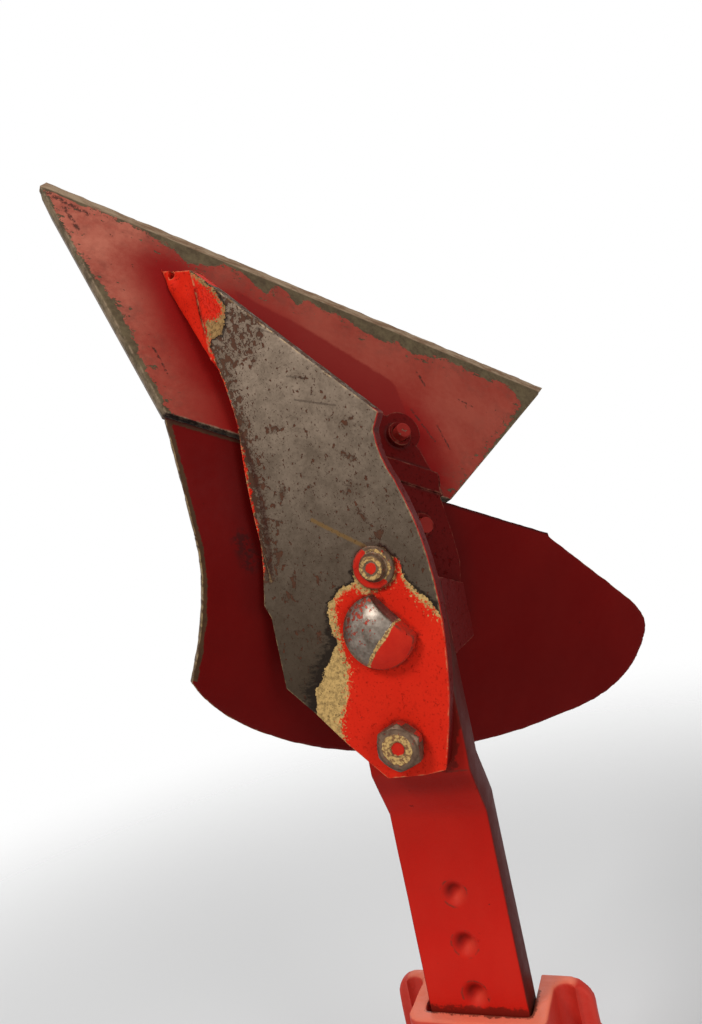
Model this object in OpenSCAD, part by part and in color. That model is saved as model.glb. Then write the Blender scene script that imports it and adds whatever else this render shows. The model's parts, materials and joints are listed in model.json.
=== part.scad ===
// Skimmer of a moldboard plough: a small left-hand plough body on a flat stalk, held in a strap clamp.
// It stands as on the parked plough: share up, stalk down, travel towards -X, soil thrown towards +Y.
// The origin is the middle of the bolt pattern on the back of the clamp bracket.

/* [Stalk] */
// Width of the flat stalk, across the travel direction's plane
stalk_w = 60; // [56:0.5:64]
// Thickness of the stalk
stalk_t = 20; // [18:0.5:22]
// Height of the stalk's top end above the middle of the clamp
stalk_top = 336; // [333:1:341]
// Length of stalk below the middle of the clamp
stalk_below = 110; // [100:1:130]
// How far the upper stalk stands out in front of the lower stalk
joggle_step = 14; // [12:0.5:16]
// Height where the joggle starts, above the middle of the clamp
joggle_z = 168; // [166:1:176]
// Height that the joggle takes
joggle_h = 29; // [24:1:31]
// Spacing of the dimples that the set screw finds
dimple_pitch = 30; // [26:1:32]
// Radius of a dimple at the stalk's face
dimple_r = 8; // [6:0.5:9]
// Depth of a dimple
dimple_d = 4.5; // [3:0.5:5.5]

/* [Frog] */
// Thickness of the frog's landside plate
plate_t = 11.5; // [10:0.5:13]
// Thickness of the frog's seat behind share and moldboard
seat_t = 10; // [8:0.5:11]
// Width of the rib along the plate's front edge
rib_w = 14; // [10:1:18]
// Play around the stalk where the frog is cut away for it
pocket_play = 1; // [0.5:0.5:2]

/* [Share] */
// Length of the share's cutting edge
edge_len = 366; // [345:1:380]
// Width of the share, from the cutting edge to the joint
share_w = 123.7; // [121:0.1:126]
// Thickness of the share
share_t = 9; // [7:0.5:11]
// Angle of the cutting edge from the travel direction, seen from above
blade_yaw = 45; // [43:0.5:47]
// Drop of the cutting edge towards the wing, in the parked position
blade_drop = 26; // [24:0.5:28]
// Roll of the share about its cutting edge
blade_roll = -106.4; // [-108:0.2:-105]

/* [Moldboard] */
// Radius of the moldboard's back
mold_r = 250; // [235:1:270]
// Thickness of the moldboard
mold_t = 7; // [5:0.5:9]
// Gap between share and moldboard
joint_gap = 2; // [1:0.5:4]

/* [Clamp] */
// Height of the strap
strap_h = 100; // [90:1:104]
// Thickness of the strap
strap_t = 10; // [8:0.5:12]
// Distance between the two ends of the strap's ears
strap_w = 124.5; // [122:0.5:130]
// Thickness of the bracket plate
bracket_t = 14; // [12:0.5:18]
// Thickness of the pad between the stalk and the bracket plate
pad_t = 17.7; // [16:0.1:20]
// Height of the middle of the clamp above the middle of the mounting holes
clamp_z = 110; // [105:1:120]
// Spacing across of the holes that mount the bracket
mount_x = 96; // [90:1:104]
// Spacing in height of the holes that mount the bracket
mount_z = 54; // [50:1:60]
// Radius of the mounting holes
mount_r = 8.5; // [6.5:0.5:9]

/* [Hidden] */
$fn = 64;

paint = "firebrick";
worn_steel = "dimgray";
bolt_steel = "slategray";

fit = 0.3;
hole_play = 0.3;
far = 700;
stalk_y = -(bracket_t + pad_t + fit + stalk_t);
plate_y = -joggle_step - plate_t;
rear_y = stalk_t - joggle_step;

// Share: tip, and the corners of its outline in the plane of its back. The cutting edge is ground
// on both sides, so it stands beyond the flat back and above it
tip = [-144, -45, 576];
wing_skew = 12;
heel_u = 287.7;
joint_u = 96.8;
edge_out = 8;
edge_lift = 2.5;
edge_t = 2.5;
bevel_w = 22;
tip_blunt = [-4.8, -1];

// Moldboard: a round bend that leaves the share at this lean, in a frame turned by mold_turn
mold_lean = 7.5;
mold_turn = 24;
mold_cw = share_w - mold_r * sin(mold_lean);
mold_cz = mold_r * cos(mold_lean);
seat_gap = 0.3;
seat_front = -61;
web_x = 21;
web_t = 8;
joint_y = tip[1] + share_w * sin(blade_roll) * sin(blade_drop) * sin(blade_yaw)
    + share_w * cos(blade_roll) * cos(blade_yaw);
joint_z = tip[2] + share_w * sin(blade_roll) * cos(blade_drop);
web_reach = joint_y + 156.5;
web_low = joint_z - 213.3;

// Bolts of share and moldboard: [place along the edge, place across]
blade_bolt_r = 5;
blade_head_r = 10;
blade_head_h = 5;
blade_bolt_out = 5;
boss_r = 8.5;
boss_h = 4;
tap_play = 0.05;
share_bolt_v = share_w - 27.7;
share_bolt_at = [[165, share_bolt_v], [240, share_bolt_v]];
mold_bolt_at = [[190, -45.6], [263, -45.6]];
lug_off = [3, -5];
lug_r = 14;

// Bolts through the plate and the stalk: x, and height above the middle of the clamp
stop_at = [4, 317];
pivot_at = [0.3, 282];
low_at = [-1, 219];
stop_r = 6;
pivot_r = 10;
low_r = 8;
pivot_head_r = 20.5;
pivot_rim_h = 6;
pivot_dome_h = 9;
pivot_flat = 12.5;
flat_turn = -39;
low_turn = 38;
low_head_h = 10;
low_dent_r = 3.8;
low_dent_d = 1.2;
stop_rim_r = 12;
stop_rim_h = 2.5;
stop_head_r = 8;
stop_head_h = 6;
nut_out = 4;

// Nuts behind the stalk: [width across flats, height]
pivot_nut_size = [30, 16];
low_nut_size = [24, 13];
stop_nut_size = [18, 10];

// Strap: web in front of the stalk, walls beside it, ears against the bracket plate
side_play = 1.6;
pad_play = 0.5;
strap_x = -1.3;
wall_in = stalk_w / 2 + side_play;
ear_back = stalk_t + fit + pad_t;
ear_t = 8;
web_round = 9;
ear_round = 14;
ear_fillet = 6;
ear_bolt_x = 51.5;
ear_bolt_r = 6;
ear_head_r = 9;
spot_r = 9.6;
set_r = 8;
set_tip = 2;
set_len = 34;
set_gap = 0.6;
set_head = [16, 12];
lock_nut_size = [24, 8];
bracket_w = 128;
bracket_up = 20;
bracket_down = 44;
bracket_top_r = 26;
bracket_foot_r = 12;
pad_low = 45;

// Places a piece that is drawn from the stalk's front face and the middle of the clamp
module place() translate([0, stalk_y, clamp_z]) children();

// Frame of the share: x along the cutting edge, y across the share, z towards the throw side
module blade_frame() translate(tip) rotate([blade_roll, blade_drop, blade_yaw]) children();

// Frame of the moldboard: x along its bend's axis, z away from its back at mid height
module mold_frame() blade_frame() translate([0, mold_cw, mold_cz]) rotate([mold_turn, 0, 0]) children();

// A plate with the outline given in x and z, from y0 on with thickness t
module slab(y0, t) translate([0, y0 + t, 0]) rotate([90, 0, 0]) linear_extrude(t) children();

function bend(p, q, r, n) = [for (i = [0:n]) let (t = i / n)
    (1 - t) * (1 - t) * p + 2 * t * (1 - t) * q + t * t * r];

module hex(af, h) cylinder(h = h, r = af / 2 / cos(30), $fn = 6);

// Hexagon with both its ends chamfered
module hex_head(af, h) intersection() {
    hex(af, h);
    union() {
        cylinder(h = h / 2, r1 = 0.47 * af, r2 = 0.47 * af + h / 2);
        translate([0, 0, h / 2]) cylinder(h = h / 2, r1 = 0.47 * af + h / 2, r2 = 0.47 * af);
    }
}

module nut(size, hole) difference() {
    hex_head(size[0], size[1]);
    translate([0, 0, -1]) cylinder(h = size[1] + 2, r = hole);
}

// Everything on the throw side of the backs of share and moldboard
module throw_side() {
    blade_frame() translate([-300, -200, 0]) cube([1200, share_w + joint_gap + 200, 300]);
    intersection() {
        mold_frame() rotate([0, 90, 0]) translate([0, 0, -300])
            cylinder(h = 1200, r = mold_r + seat_gap, $fn = 128);
        blade_frame() translate([-300, share_w, -200]) cube([1200, 500, 700]);
    }
}

// Stalk: lower part, joggle and upper part in one bar
module stalk_side() {
    rise = stalk_t * tan(atan(joggle_step / joggle_h) / 2);
    polygon([
        [0, -stalk_below], [stalk_t, -stalk_below],
        [stalk_t, joggle_z + rise], [rear_y, joggle_z + joggle_h + rise], [rear_y, stalk_top],
        [-joggle_step, stalk_top], [-joggle_step, joggle_z + joggle_h], [0, joggle_z]]);
}

module stalk_front() {
    top_cut_x = 20;
    top_cut_z = 34;
    end_cut = 6;
    h = stalk_w / 2;
    polygon([
        [-h, -stalk_below + end_cut], [-h + end_cut, -stalk_below], [h - end_cut, -stalk_below],
        [h, -stalk_below + end_cut], [h, stalk_top - top_cut_z], [h - top_cut_x, stalk_top],
        [-h + top_cut_x, stalk_top], [-h, stalk_top - top_cut_z]]);
}

module plate_bore(at, r) translate([at[0], -far / 2, at[1]]) rotate([-90, 0, 0]) cylinder(h = far, r = r);

module stalk() color(paint) place() difference() {
    intersection() {
        translate([-stalk_w / 2, 0, 0]) rotate([90, 0, 90]) linear_extrude(stalk_w) stalk_side();
        slab(-50, 100) stalk_front();
    }
    plate_bore(stop_at, stop_r + hole_play);
    plate_bore(pivot_at, pivot_r + hole_play);
    plate_bore(low_at, low_r + hole_play);
    for (i = [-2:4]) translate([0, -0.01, i * dimple_pitch]) rotate([-90, 0, 0])
        cylinder(h = dimple_d, r1 = dimple_r, r2 = 1.5);
}

// Outline of the landside plate: front edge from its foot up, then the diagonal, the rear edge and the foot
plate_front = [[-66, 256], [-66, 298], [-69, 306], [-65, 325], [-61, 350], [-60, 385],
    [-61.5, 415], [-64.5, 438], [-69, 460], [-70.5, 480], [-70, 507]];
plate_rear = concat(
    [[24.4, 399]],
    bend([19.5, 390], [19, 376], [25.5, 361], 4),
    bend([25.5, 361], [36, 330], [35.8, 292], 6),
    bend([35.8, 292], [35.6, 250], [20.2, 202], 8),
    [[8.4, 200], [-14.4, 199.4], [-35, 221], [-51.3, 240.5]]);

module plate_outline() polygon(concat(plate_front, plate_rear));

module rib_outline() polygon(concat(
    [for (i = [2:len(plate_front) - 2]) plate_front[i]],
    [[-70.3, 489], [rib_w - 70.3, 473]],
    [for (i = [len(plate_front) - 3:-1:2]) plate_front[i] + [rib_w, 0]]));

// Nose that bridges from the plate to the back of the share, with a pit at its top
module nose() difference() {
    hull() {
        slab(plate_y, 1) polygon([[-70.5, 507], [-62, 497], [-64, 446], [-69.3, 452]]);
        slab(-12, 4) polygon([[-98.4, 518], [-95.9, 504.5], [-91.7, 493], [-86.7, 481],
            [-80.5, 465], [-71, 443], [-64, 443], [-72, 509]]);
    }
    translate([-89.5, -far / 2 - 11, 512.5]) rotate([-90, 0, 0]) cylinder(h = far / 2, r = 3);
}

module seat_share() blade_frame() {
    translate([0, 0, -seat_t]) linear_extrude(seat_t) {
        polygon([
            [100, share_bolt_v - 40], [170, share_bolt_v - 28], [234, share_bolt_v - 12],
            [257, share_bolt_v + 4], [275, share_w + 0.3], [277, share_w + 4], [100, share_w + 4]]);
        translate(share_bolt_at[1] + lug_off) circle(r = lug_r);
    }
}

module seat_mold() intersection() {
    mold_frame() rotate([0, 90, 0]) difference() {
        cylinder(h = far, r = mold_r + seat_gap + seat_t, $fn = 128);
        translate([0, 0, -1]) cylinder(h = far + 2, r = mold_r + seat_gap, $fn = 128);
    }
    mold_frame() translate([0, 0, -mold_r - 40]) linear_extrude(150) polygon([
        [120, -85], [271, -85], [275, -69], [289, -46], [296, -33],
        [300, -18], [307, 6], [300, 26], [150, 26]]);
}

// Web from the seat to the back of the stalk, at a height that follows the joint
module seat_web() translate([web_x, rear_y + fit, 0]) rotate([90, 0, 90]) linear_extrude(web_t)
    polygon([[0, web_low], [0, web_low + 47], [web_reach, web_low + 35], [web_reach, web_low]]);

module seat_bosses() {
    for (at = share_bolt_at) share_bolt_place(at) translate([0, 0, -seat_t - boss_h])
        cylinder(h = boss_h + 1, r = boss_r);
    for (at = mold_bolt_at) mold_bolt_place(at) translate([0, 0, -seat_t - boss_h])
        cylinder(h = boss_h + 1, r = boss_r);
}

module stalk_room() translate([-stalk_w / 2 - pocket_play, -joggle_step, 0])
    cube([stalk_w + 2 * pocket_play + 60, stalk_t + 2, stalk_top + 2]);

module frog() color(worn_steel) place() difference() {
    union() {
        slab(plate_y, plate_t) plate_outline();
        slab(plate_y, 60) rib_outline();
        nose();
        intersection() {
            union() {
                seat_share();
                seat_mold();
            }
            translate([seat_front, -far / 2, 0]) cube([far, far, far]);
        }
        seat_bosses();
        seat_web();
    }
    throw_side();
    nut_room();
    stalk_room();
    plate_bore(stop_at, stop_r + hole_play);
    plate_bore(pivot_at, pivot_r + hole_play);
    plate_bore(low_at, low_r + hole_play);
    for (at = share_bolt_at) share_bolt_place(at) tapped();
    for (at = mold_bolt_at) mold_bolt_place(at) tapped();
}

// Room behind the stalk for the nut of the pivot bolt
module nut_room() translate([pivot_at[0], rear_y, pivot_at[1]]) rotate([-90, 0, 0])
    cylinder(h = pivot_nut_size[1] + nut_out, r = pivot_nut_size[0] / 2 / cos(30) + 1.2);

// Thread in the frog for a blade bolt, as long as the bolt behind the share or moldboard
module tapped() {
    below = seat_t + boss_h + blade_bolt_out + fit;
    translate([0, 0, -below]) cylinder(h = below + 2, r = blade_bolt_r + tap_play);
}

// The two ground faces along the share's cutting edge, as what the grinding takes off
module ground_off() rotate([0, 0, atan(wing_skew / edge_len)]) {
    reach = edge_len + 100;
    rotate([-atan(edge_lift / edge_out), 0, 0]) translate([-50, -4 * edge_out, -4 * edge_out])
        cube([reach, 4 * edge_out, 4 * edge_out]);
    translate([0, -edge_out, edge_lift + edge_t])
        rotate([atan((share_t - edge_lift - edge_t) / bevel_w), 0, 0]) translate([-50, -bevel_w, 0])
            cube([reach, 4 * bevel_w, 2 * bevel_w]);
}

// Share: flat plate, ground along its cutting edge
module share() color("indianred") place() blade_frame() difference() {
    linear_extrude(share_t) polygon([
        tip_blunt, [-2, -edge_out], [edge_len, wing_skew - edge_out],
        [heel_u, share_w], [joint_u, share_w]]);
    ground_off();
    for (at = share_bolt_at) translate([at[0], at[1], 0]) {
        translate([0, 0, -1]) cylinder(h = share_t + 2, r = blade_bolt_r + hole_play);
        translate([0, 0, share_t - blade_head_h])
            cylinder(h = blade_head_h + 0.01, r1 = blade_bolt_r + hole_play, r2 = blade_head_r + hole_play);
    }
}

// Outline of the moldboard: shin, bottom, wing, and the edge beyond the share
mold_outline = concat(
    [[87.5, -85]],
    bend([129.4, -8.4], [147, 20], [153.4, 79], 6),
    bend([153.4, 79], [185, 107], [250, 107.5], 8),
    bend([250, 107.5], [338, 104], [412.8, 50.4], 10),
    bend([412.8, 50.4], [461, 24], [462, -20], 8),
    bend([462, -20], [461, -33], [443, -39.8], 5),
    [[368, -66.5], [358, -85]]);

module moldboard() color(paint) place() difference() {
    intersection() {
        mold_frame() rotate([0, 90, 0]) difference() {
            cylinder(h = far, r = mold_r, $fn = 128);
            translate([0, 0, -1]) cylinder(h = far + 2, r = mold_r - mold_t, $fn = 128);
        }
        mold_frame() translate([0, 0, -mold_r - 10]) linear_extrude(100)
            polygon(mold_outline);
        blade_frame() translate([-50, share_w + joint_gap, -50]) cube([far, 300, 250]);
    }
    for (at = mold_bolt_at) mold_bolt_place(at) {
        translate([0, 0, -10]) cylinder(h = 40, r = blade_bolt_r + hole_play);
        translate([0, 0, mold_t - blade_head_h])
            cylinder(h = blade_head_h + 3, r1 = blade_bolt_r + hole_play, r2 = blade_head_r + 3.3);
    }
}

// Bolt places on share and moldboard: z = 0 on the back, z towards the throw side
module share_bolt_place(at) blade_frame() translate([at[0], at[1], 0]) children();
module mold_bolt_place(at) mold_frame() rotate([asin(at[1] / mold_r), 0, 0])
    translate([at[0], 0, -mold_r]) children();

module blade_bolt(t) {
    below = seat_t + boss_h + blade_bolt_out;
    translate([0, 0, -below]) cylinder(h = below + t - 1, r = blade_bolt_r);
    translate([0, 0, t - blade_head_h])
        cylinder(h = blade_head_h - 0.5, r1 = blade_bolt_r, r2 = blade_head_r - 0.7);
}

module share_bolts() color(bolt_steel) place()
    for (at = share_bolt_at) share_bolt_place(at) blade_bolt(share_t);
module mold_bolts() color(bolt_steel) place()
    for (at = mold_bolt_at) mold_bolt_place(at) blade_bolt(mold_t);

// Bolt axis through plate and stalk: z = 0 on the plate's face, z towards the moldboard
module through(at) place() translate([at[0], plate_y, at[1]]) rotate([-90, 0, 0]) children();
grip = plate_t + stalk_t;

// Domed head with one flat cut on its side
dome_r = (pivot_head_r * pivot_head_r + pivot_dome_h * pivot_dome_h) / 2 / pivot_dome_h;
dome_a = asin(pivot_head_r / dome_r);

module dome() rotate_extrude() polygon(concat(
    [[0, 1], [pivot_head_r, 1]],
    [for (i = [8:-1:0]) let (a = dome_a * i / 8)
        [dome_r * sin(a), -pivot_rim_h - pivot_dome_h + dome_r * (1 - cos(a))]]));

module pivot_bolt() color(worn_steel) through(pivot_at) {
    cylinder(h = grip + pivot_nut_size[1] + nut_out, r = pivot_r);
    difference() {
        translate([0, 0, -0.01]) dome();
        translate([-50, -50, 0]) cube(100);
        rotate([0, 0, flat_turn]) translate([pivot_flat, -50, -50]) cube([50, 100, 100]);
    }
}

module frog_bolt() color(bolt_steel) through(low_at) {
    cylinder(h = grip + low_nut_size[1] + nut_out, r = low_r);
    rotate([0, 0, low_turn]) translate([0, 0, -low_head_h]) difference() {
        hex_head(low_nut_size[0], low_head_h);
        translate([0, 0, -0.01]) cylinder(h = low_dent_d, r = low_dent_r);
    }
}

module stop_bolt() color(bolt_steel) through(stop_at) {
    cylinder(h = grip + stop_nut_size[1] + nut_out, r = stop_r);
    translate([0, 0, -stop_rim_h]) cylinder(h = stop_rim_h, r = stop_rim_r);
    translate([0, 0, -stop_head_h]) cylinder(h = stop_head_h - 2, r1 = stop_head_r - 1, r2 = stop_head_r);
}

module rear_nut(size, r) translate([0, 0, grip]) nut(size, r + tap_play);
module pivot_nut() color(bolt_steel) through(pivot_at) rear_nut(pivot_nut_size, pivot_r);
module frog_nut() color(bolt_steel) through(low_at) rear_nut(low_nut_size, low_r);
module stop_nut() color(bolt_steel) through(stop_at) rear_nut(stop_nut_size, stop_r);

module round_rect(w, h, r) {
    square([w - 2 * r, h], center = true);
    square([w, h - 2 * r], center = true);
    for (x = [-1, 1], y = [-1, 1]) translate([x * (w / 2 - r), y * (h / 2 - r)]) circle(r = r);
}

// Plan of the strap, x across and y away from the web's inner face
module strap_plan() {
    wall_out = wall_in + strap_t;
    difference() {
        union() {
            translate([0, -strap_t + (ear_back + strap_t) / 2])
                round_rect(2 * wall_out, ear_back + strap_t, web_round);
            translate([-wall_out, ear_back - ear_t]) square([2 * wall_out, ear_t]);
            translate([-strap_w / 2, ear_back - ear_t]) square([strap_w, ear_t]);
            for (s = [-1, 1]) translate([s * (wall_out + ear_fillet), ear_back - ear_t - ear_fillet])
                difference() {
                    translate([-ear_fillet, 0]) square([2 * ear_fillet, ear_fillet + 1]);
                    circle(r = ear_fillet);
                }
        }
        translate([-wall_in, 0]) square([2 * wall_in, ear_back + 1]);
    }
}

module strap() color("crimson") place() translate([strap_x, -fit, 0]) difference() {
    intersection() {
        translate([0, 0, -strap_h / 2]) linear_extrude(strap_h) strap_plan();
        union() {
            slab(-50, 150) round_rect(strap_w, strap_h, ear_round);
            slab(-50, 50 + ear_back - ear_t - 1)
                square([2 * wall_in + 2 * strap_t, strap_h], center = true);
        }
    }
    for (x = [-1, 1]) translate([x * ear_bolt_x, 0, 0]) rotate([-90, 0, 0]) {
        cylinder(h = 100, r = ear_bolt_r + hole_play);
        translate([0, 0, ear_back - ear_t - 20]) cylinder(h = 20, r = spot_r);
    }
    translate([-strap_x, -strap_t - 1, 0]) rotate([-90, 0, 0]) cylinder(h = strap_t + 2, r = set_r + 0.1);
}

// Bracket plate: round shoulders at the top, small corners at the foot
module bracket_outline() {
    h = bracket_up + clamp_z + bracket_down;
    translate([0, bracket_up - h / 2]) {
        translate([0, bracket_top_r / 2]) round_rect(bracket_w, h - bracket_top_r, bracket_top_r);
        translate([0, -bracket_top_r]) round_rect(bracket_w, h - 2 * bracket_top_r, bracket_foot_r);
    }
}

// Bracket: plate with the pad that backs the stalk, tapped for the strap and drilled for the mount
module bracket() color(paint) place() difference() {
    union() {
        slab(ear_back, bracket_t) bracket_outline();
        translate([strap_x - wall_in + pad_play, stalk_t + fit, -pad_low])
            cube([2 * wall_in - 2 * pad_play, pad_t + 1, bracket_up + pad_low]);
    }
    for (x = [-1, 1]) {
        translate([strap_x + x * ear_bolt_x, 0, 0]) rotate([-90, 0, 0])
            cylinder(h = 100, r = ear_bolt_r + tap_play);
        for (z = [-1, 1]) translate([x * mount_x / 2, 0, -clamp_z + z * mount_z / 2]) rotate([-90, 0, 0])
            cylinder(h = 100, r = mount_r);
    }
}

// Socket head screws in the ears, tapped into the bracket
module strap_bolts() color(bolt_steel) place() for (x = [-1, 1])
    translate([strap_x + x * ear_bolt_x, ear_back - ear_t - fit, 0]) rotate([-90, 0, 0]) {
        cylinder(h = ear_t + bracket_t - 1, r = ear_bolt_r);
        difference() {
            translate([0, 0, -12]) cylinder(h = 12, r = ear_head_r);
            translate([0, 0, -12.01]) hex(10, 6);
        }
    }

// Set screw in the web, backed out so that its tip is clear of the stalk
module set_screw() color(bolt_steel) place() translate([0, -set_gap, 0]) rotate([90, 0, 0]) {
    cylinder(h = set_tip, r1 = 4, r2 = set_r);
    translate([0, 0, set_tip]) cylinder(h = set_len - set_tip, r = set_r);
    translate([0, 0, set_len]) hex_head(set_head[0], set_head[1]);
}

module lock_nut() color(bolt_steel) place() translate([0, -strap_t - fit - 0.1, 0]) rotate([90, 0, 0])
    nut(lock_nut_size, set_r + tap_play);

bracket();
strap();
strap_bolts();
set_screw();
lock_nut();
stalk();
frog();
share();
moldboard();
share_bolts();
mold_bolts();
pivot_bolt();
pivot_nut();
frog_bolt();
frog_nut();
stop_bolt();
stop_nut();
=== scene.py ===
"""Looks of the plough skimmer: worn paint and steel on its share, moldboard, frog, stalk and clamp."""
import json
import math

import bmesh
import bpy
import numpy as np
from mathutils import Matrix, Vector, kdtree
from mathutils.bvhtree import BVHTree

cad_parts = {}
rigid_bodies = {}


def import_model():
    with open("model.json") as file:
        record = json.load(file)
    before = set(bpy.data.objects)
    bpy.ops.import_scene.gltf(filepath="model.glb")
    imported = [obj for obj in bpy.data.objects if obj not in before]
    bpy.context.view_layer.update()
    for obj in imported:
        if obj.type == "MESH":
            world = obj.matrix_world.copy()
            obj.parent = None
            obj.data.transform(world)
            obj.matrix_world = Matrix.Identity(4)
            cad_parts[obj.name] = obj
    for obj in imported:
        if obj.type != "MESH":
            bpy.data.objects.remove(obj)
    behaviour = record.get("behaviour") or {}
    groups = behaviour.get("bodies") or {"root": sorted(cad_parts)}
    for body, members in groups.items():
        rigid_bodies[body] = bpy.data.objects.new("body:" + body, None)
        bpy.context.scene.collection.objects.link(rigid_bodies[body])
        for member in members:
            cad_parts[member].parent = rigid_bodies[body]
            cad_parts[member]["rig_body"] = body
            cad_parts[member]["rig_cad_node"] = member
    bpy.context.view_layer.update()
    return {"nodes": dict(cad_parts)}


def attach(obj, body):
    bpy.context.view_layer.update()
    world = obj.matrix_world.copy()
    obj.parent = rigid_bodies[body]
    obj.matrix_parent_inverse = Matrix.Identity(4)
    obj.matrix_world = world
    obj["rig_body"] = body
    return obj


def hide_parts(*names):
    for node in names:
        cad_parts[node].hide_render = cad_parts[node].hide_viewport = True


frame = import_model()
bpy.ops.object.select_all(action="DESELECT")

SIDEWAYS, BACKWARDS, UPWARDS = (1, 0, 0), (0, 1, 0), (0, 0, 1)


def frame_of(move, turns):
    """A frame that is moved and then turned about its own axes, by degrees."""
    matrix = Matrix.Translation(move)
    for axis, angle in turns:
        matrix = matrix @ Matrix.Rotation(math.radians(angle), 4, axis)
    return matrix


# Places of the main faces, in millimetres, as the CAD has them
STALK_FACE = -52.0
PLATE_FACE = -77.5
CLAMP_MIDDLE = 110.0
STRAP_TOP = 160.0

# The share lies flat in its own frame, its edge along the first axis and its back at depth 0
SHARE_TOE = (-144.0, STALK_FACE - 45.0, CLAMP_MIDDLE + 576.0)
SHARE_FRAME = frame_of(SHARE_TOE, [("Z", 45), ("Y", 26), ("X", -106.4)])
SHARE_LENGTH = 366.0
SHARE_WIDTH = 123.7
EDGE_RISE = 12.0 / SHARE_LENGTH
SHARE_BEVEL_DEPTH = 6.0
# Its sides at toe and heel: how far across they start, and how much they lean inwards
TOE_START, TOE_LEAN = 5, 0.8155
HEEL_START, HEEL_LEAN = 4, 0.654

# The moldboard is a sheet bent round the first axis of its frame, and its joint lies this far across the share's frame
BOARD_JOINT = 128.0
BOARD_RADIUS = 250.0
BOARD_LEAN = math.radians(7.5)
BOARD_AXIS = (0, SHARE_WIDTH - BOARD_RADIUS * math.sin(BOARD_LEAN), BOARD_RADIUS * math.cos(BOARD_LEAN))
BOARD_FRAME = SHARE_FRAME @ frame_of(BOARD_AXIS, [("X", 24)])
BOARD_BOLTS_LEAN = math.degrees(math.asin(-45.6 / BOARD_RADIUS))
SHIN_LENGTH, SHIN_WIDTH = 172, 78
# Deeper than this, share and moldboard show the steel of their throw side
THROW_DEPTH = 5.6

# Stalk: its sides start past this width, and its dimples follow each other at this pitch
STALK_FLAT = 29.0
DIMPLE_PITCH = 30
JOGGLE_HEIGHT = 190

# Bolt heads on the plate: x, and height above the middle of the clamp
PIVOT_MIDDLE = (0.3, 282.0)
FROG_BOLT_MIDDLE = (-1.0, 219.0)
STOP_MIDDLE = (4.0, 317.0)

# Distances are cut off at this length, and these depths lie well inside and well outside a patch of paint
FAR = 40.0
PAINTED = 25.0
BARE = -6.0
# Points closer than this, in metres, are one
DOUBLES = 0.00002

# Paint left on the landside plate: x, and height above the middle of the clamp
BOLT_PAINT = [
    (-38, 215), (-35, 222), (-35, 233), (-30, 244), (-25, 255), (-23, 264), (-25, 274), (-25, 286), (-25, 295),
    (-22, 302), (-16, 306), (-9, 307), (-4, 303), (7, 305), (15, 308), (16, 314), (16, 321), (19, 318),
    (18, 309), (20, 302), (25, 295), (30, 289), (40, 279), (60, 250), (40, 190), (-20, 190)]
BOLT_PRIMER = [
    (-60, 225), (-49, 239), (-48, 252), (-40, 262), (-32, 273), (-28, 278), (-29, 286), (-30, 296), (-26, 303),
    (-19, 308), (-10, 311), (-9, 317), (-1, 327), (10, 327), (17, 320), (19, 314), (20, 308), (22, 304),
    (27, 298), (32, 292), (37, 284), (60, 260), (60, 190), (-30, 190)]
NOSE_PAINT = [
    (-73, 516), (-72, 506), (-66, 498), (-59, 490), (-56, 482), (-56, 477), (-62, 475), (-68, 475), (-70, 473),
    (-90, 460), (-120, 500), (-90, 530)]
NOSE_PRIMER = [
    (-73, 518), (-69, 508), (-62, 499), (-55, 490), (-52, 481), (-53, 473), (-58, 464), (-66, 462), (-70, 455),
    (-95, 450), (-125, 500), (-90, 535)]
NOSE_RUST = [(-74, 520), (-60, 505), (-30, 470), (-36, 452), (-66, 440)]
PLATE_FRONT = [(-66, 298), (-69, 306), (-65, 325), (-61, 350), (-60, 385), (-61.5, 415), (-64.5, 438), (-69, 460)]
FRONT_STRIP = (318, 475)
# How far the bare band reaches from the edges of the share's back: place along the edge, width of the band
EDGE_BAND = [
    (-10, 3), (24, 1), (50, 1), (72, 3.6), (81, 6.3), (89, 14), (101, 9.7), (111, 2.4), (127, 3.8), (142, 11.3),
    (147, 2.2), (155, 1.9), (163, 9.7), (170, 3.4), (180, 5), (195, 5.6), (207, 8.2), (215, 10), (226, 11.6),
    (239, 8.2), (255, 11.6), (271, 7), (285, 5.7), (296, 5.3), (307, 8), (322, 5.4), (333, 6), (339, 13), (348, 18)]
TOE_BAND = [(5, 2), (20, 0.6), (38, 1), (54, 4.7), (66, 6.4), (81, 5.4), (100, 2.7), (118, 2.2)]
HEEL_BAND = [(4, 6), (25, 3), (35, 4.5), (59, 2.2), (73, 1.5), (95, 0.6), (123, 0.2)]
# The part of the share's back beside the plate where the plate's cast shadow is painted on as darker paint
PLATE_SHADOW_ON_SHARE = [
    (122, 23), (168, 31), (190, 36), (238, 49), (246, 61), (255, 83), (275, 111), (250, 135), (223, 77), (170, 50),
    (126, 31)]
# Scratches: start, end and width, on the share in its own frame and on the plate from the middle of the clamp
SHARE_SCRATCHES = [
    ((253, 65, 0), (273, 84, 0), 1.1), ((274, 71, 0), (285, 86, 0), 0.9), ((290, 44, 0), (302, 46, 0), 0.9),
    ((256, 34, 0), (263, 43, 0), 1.2), ((82, 84, 0), (93, 98, 0), 0.9), ((2, 3, 0), (26, 7, 0), 2.2),
    ((12, 8, 0), (24, 21, 0), 1.8)]
PLATE_LINE = ((-27, 0, 349), (2, 0, 328), 1.7)
PLATE_SCRATCHES = [
    ((-22, 0, 417), (1, 0, 408), 0.8), ((-24, 0, 431), (-13, 0, 427), 0.8), ((-36, 0, 462), (-26, 0, 456), 0.8)]
BOARD_SMUDGE = ((157, -12, 0), (166, 0, 0), 9.0)
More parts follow.
